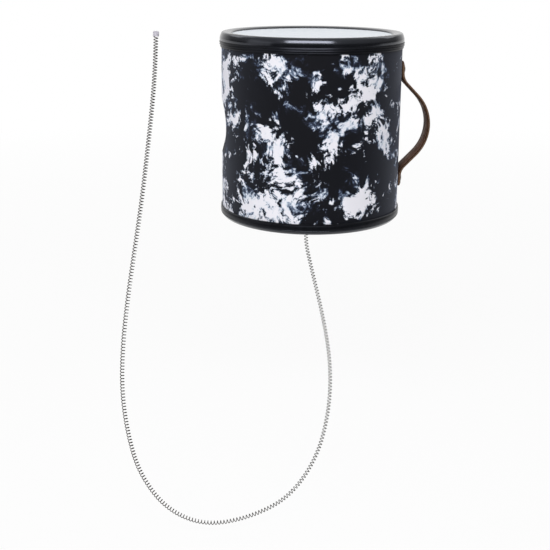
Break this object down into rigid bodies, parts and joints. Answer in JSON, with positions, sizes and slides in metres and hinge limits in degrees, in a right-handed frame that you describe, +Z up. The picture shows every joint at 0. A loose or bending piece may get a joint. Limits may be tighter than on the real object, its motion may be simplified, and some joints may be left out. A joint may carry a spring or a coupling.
{
  "type": "spring drum",
  "caption": "Hand-held spring drum: a short tube with film heads in moulded rims, a strap handle, a sound port and a long coil spring hung from its lower head.",
  "frame": {"origin": "middle of the strap handle's grip, on the strap's middle line", "axes": "+Z up along the drum's axis towards the plain head, +X out of the handle away from the drum, -X through the sound port"},
  "size_m": [0.2993, 0.2249, 0.4846],
  "materials": {
    "shell_fibre": "pressed fibre tube, dark inside and at the cut port edge",
    "printed_skin": "satin printed covering, navy black with bleached blotches",
    "drum_film": "milky polyester film with a fine coating",
    "rim_plastic": "black moulded plastic, satin gloss",
    "band_plastic": "black moulded plastic with fine lines",
    "strap_leather": "dark brown grained leather with paler cut edges",
    "zinc_steel": "zinc plated",
    "patch_cloth": "black cloth tape",
    "eyelet_brass": "plain pressed brass",
    "spring_steel": "bright drawn spring wire",
    "tip_vinyl": "soft translucent vinyl"
  },
  "bodies": {
    "drum": {"shell": "shell_fibre", "shell_wrap": "printed_skin", "top_head": "drum_film", "bottom_head": "drum_film", "top_rim": "rim_plastic", "bottom_rim": "rim_plastic", "top_collar_band": "band_plastic", "bottom_collar_band": "band_plastic", "handle_strap": "strap_leather", "handle_screws": "zinc_steel", "handle_washers": "zinc_steel", "handle_nuts": "zinc_steel", "head_patch": "patch_cloth", "head_eyelet": "eyelet_brass"},
    "eye": {"eye_pin": "zinc_steel", "pin_washer": "zinc_steel"},
    "spring": {"spring": "spring_steel", "spring_tip": "tip_vinyl"}
  },
  "joints": [
    {"name": "eye_turn", "type": "hinge", "parent": "drum", "child": "eye", "pos_m": [-0.1175, 0, -0.0921], "axis": [0, 0, 1], "continuous": true},
    {"name": "spring_swing", "type": "hinge", "parent": "eye", "child": "spring", "pos_m": [-0.1175, 0, -0.0921], "axis": [0, -1, 0], "range_deg": [-15, 40]}
  ]
}
